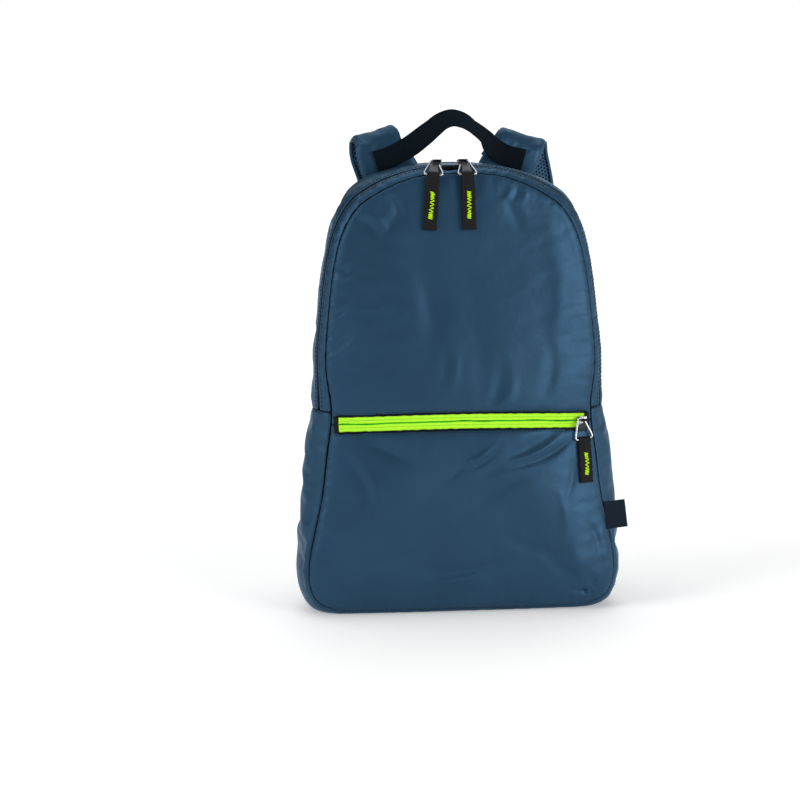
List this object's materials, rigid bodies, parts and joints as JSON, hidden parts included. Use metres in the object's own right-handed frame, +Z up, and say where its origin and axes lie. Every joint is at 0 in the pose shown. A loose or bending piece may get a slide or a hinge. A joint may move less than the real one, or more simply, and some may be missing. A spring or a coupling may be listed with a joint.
{
  "type": "packable backpack",
  "caption": "Light daypack of thin nylon with an arched main zip, a zipped front pocket, a grab handle and padded shoulder straps.",
  "frame": {"origin": "the middle of the base, on the ground it stands on", "axes": "+Z up, +Y towards the wearer's back, +X to the right as seen from the front"},
  "size_m": [0.3184, 0.1747, 0.4783],
  "materials": {
    "nylon": "thin plain-woven nylon with a slight sheen, mid blue",
    "air_mesh": "open knitted air mesh, blue",
    "navy_webbing": "woven webbing, near-black navy",
    "black_webbing": "woven webbing, black",
    "green_tape": "reverse coil zip tape, bright yellow-green",
    "dark_coil": "nylon coil, near black",
    "black_plastic": "moulded acetal, black",
    "steel": "nickel-plated zinc and bright steel wire"
  },
  "bodies": {
    "root": {"front_panel": "nylon", "pocket_panel": "nylon", "pocket_tape_upper": "green_tape", "pocket_tape_lower": "green_tape", "pocket_zip_end_left": "black_webbing", "pocket_zip_end_right": "black_webbing", "zip_band": "nylon", "upper_gusset": "nylon", "lower_gusset": "nylon", "back_panel": "nylon", "main_zip_coil_right": "dark_coil", "main_zip_coil_left": "dark_coil", "main_zip_right_slider": "steel", "main_zip_left_slider": "steel", "pocket_zip_slider": "steel", "main_zip_right_ring": "steel", "main_zip_left_ring": "steel", "pocket_zip_ring": "steel", "main_zip_right_pull": "black_webbing", "main_zip_left_pull": "black_webbing", "pocket_zip_pull": "black_webbing", "grab_handle": "navy_webbing", "strap_right": "nylon", "strap_left": "nylon", "strap_mesh_right": "air_mesh", "strap_mesh_left": "air_mesh", "buckle_right": "black_plastic", "buckle_left": "black_plastic", "buckle_loop_right": "black_webbing", "buckle_loop_left": "black_webbing", "webbing_right": "black_webbing", "webbing_left": "black_webbing", "side_tag": "navy_webbing"}
  },
  "joints": []
}
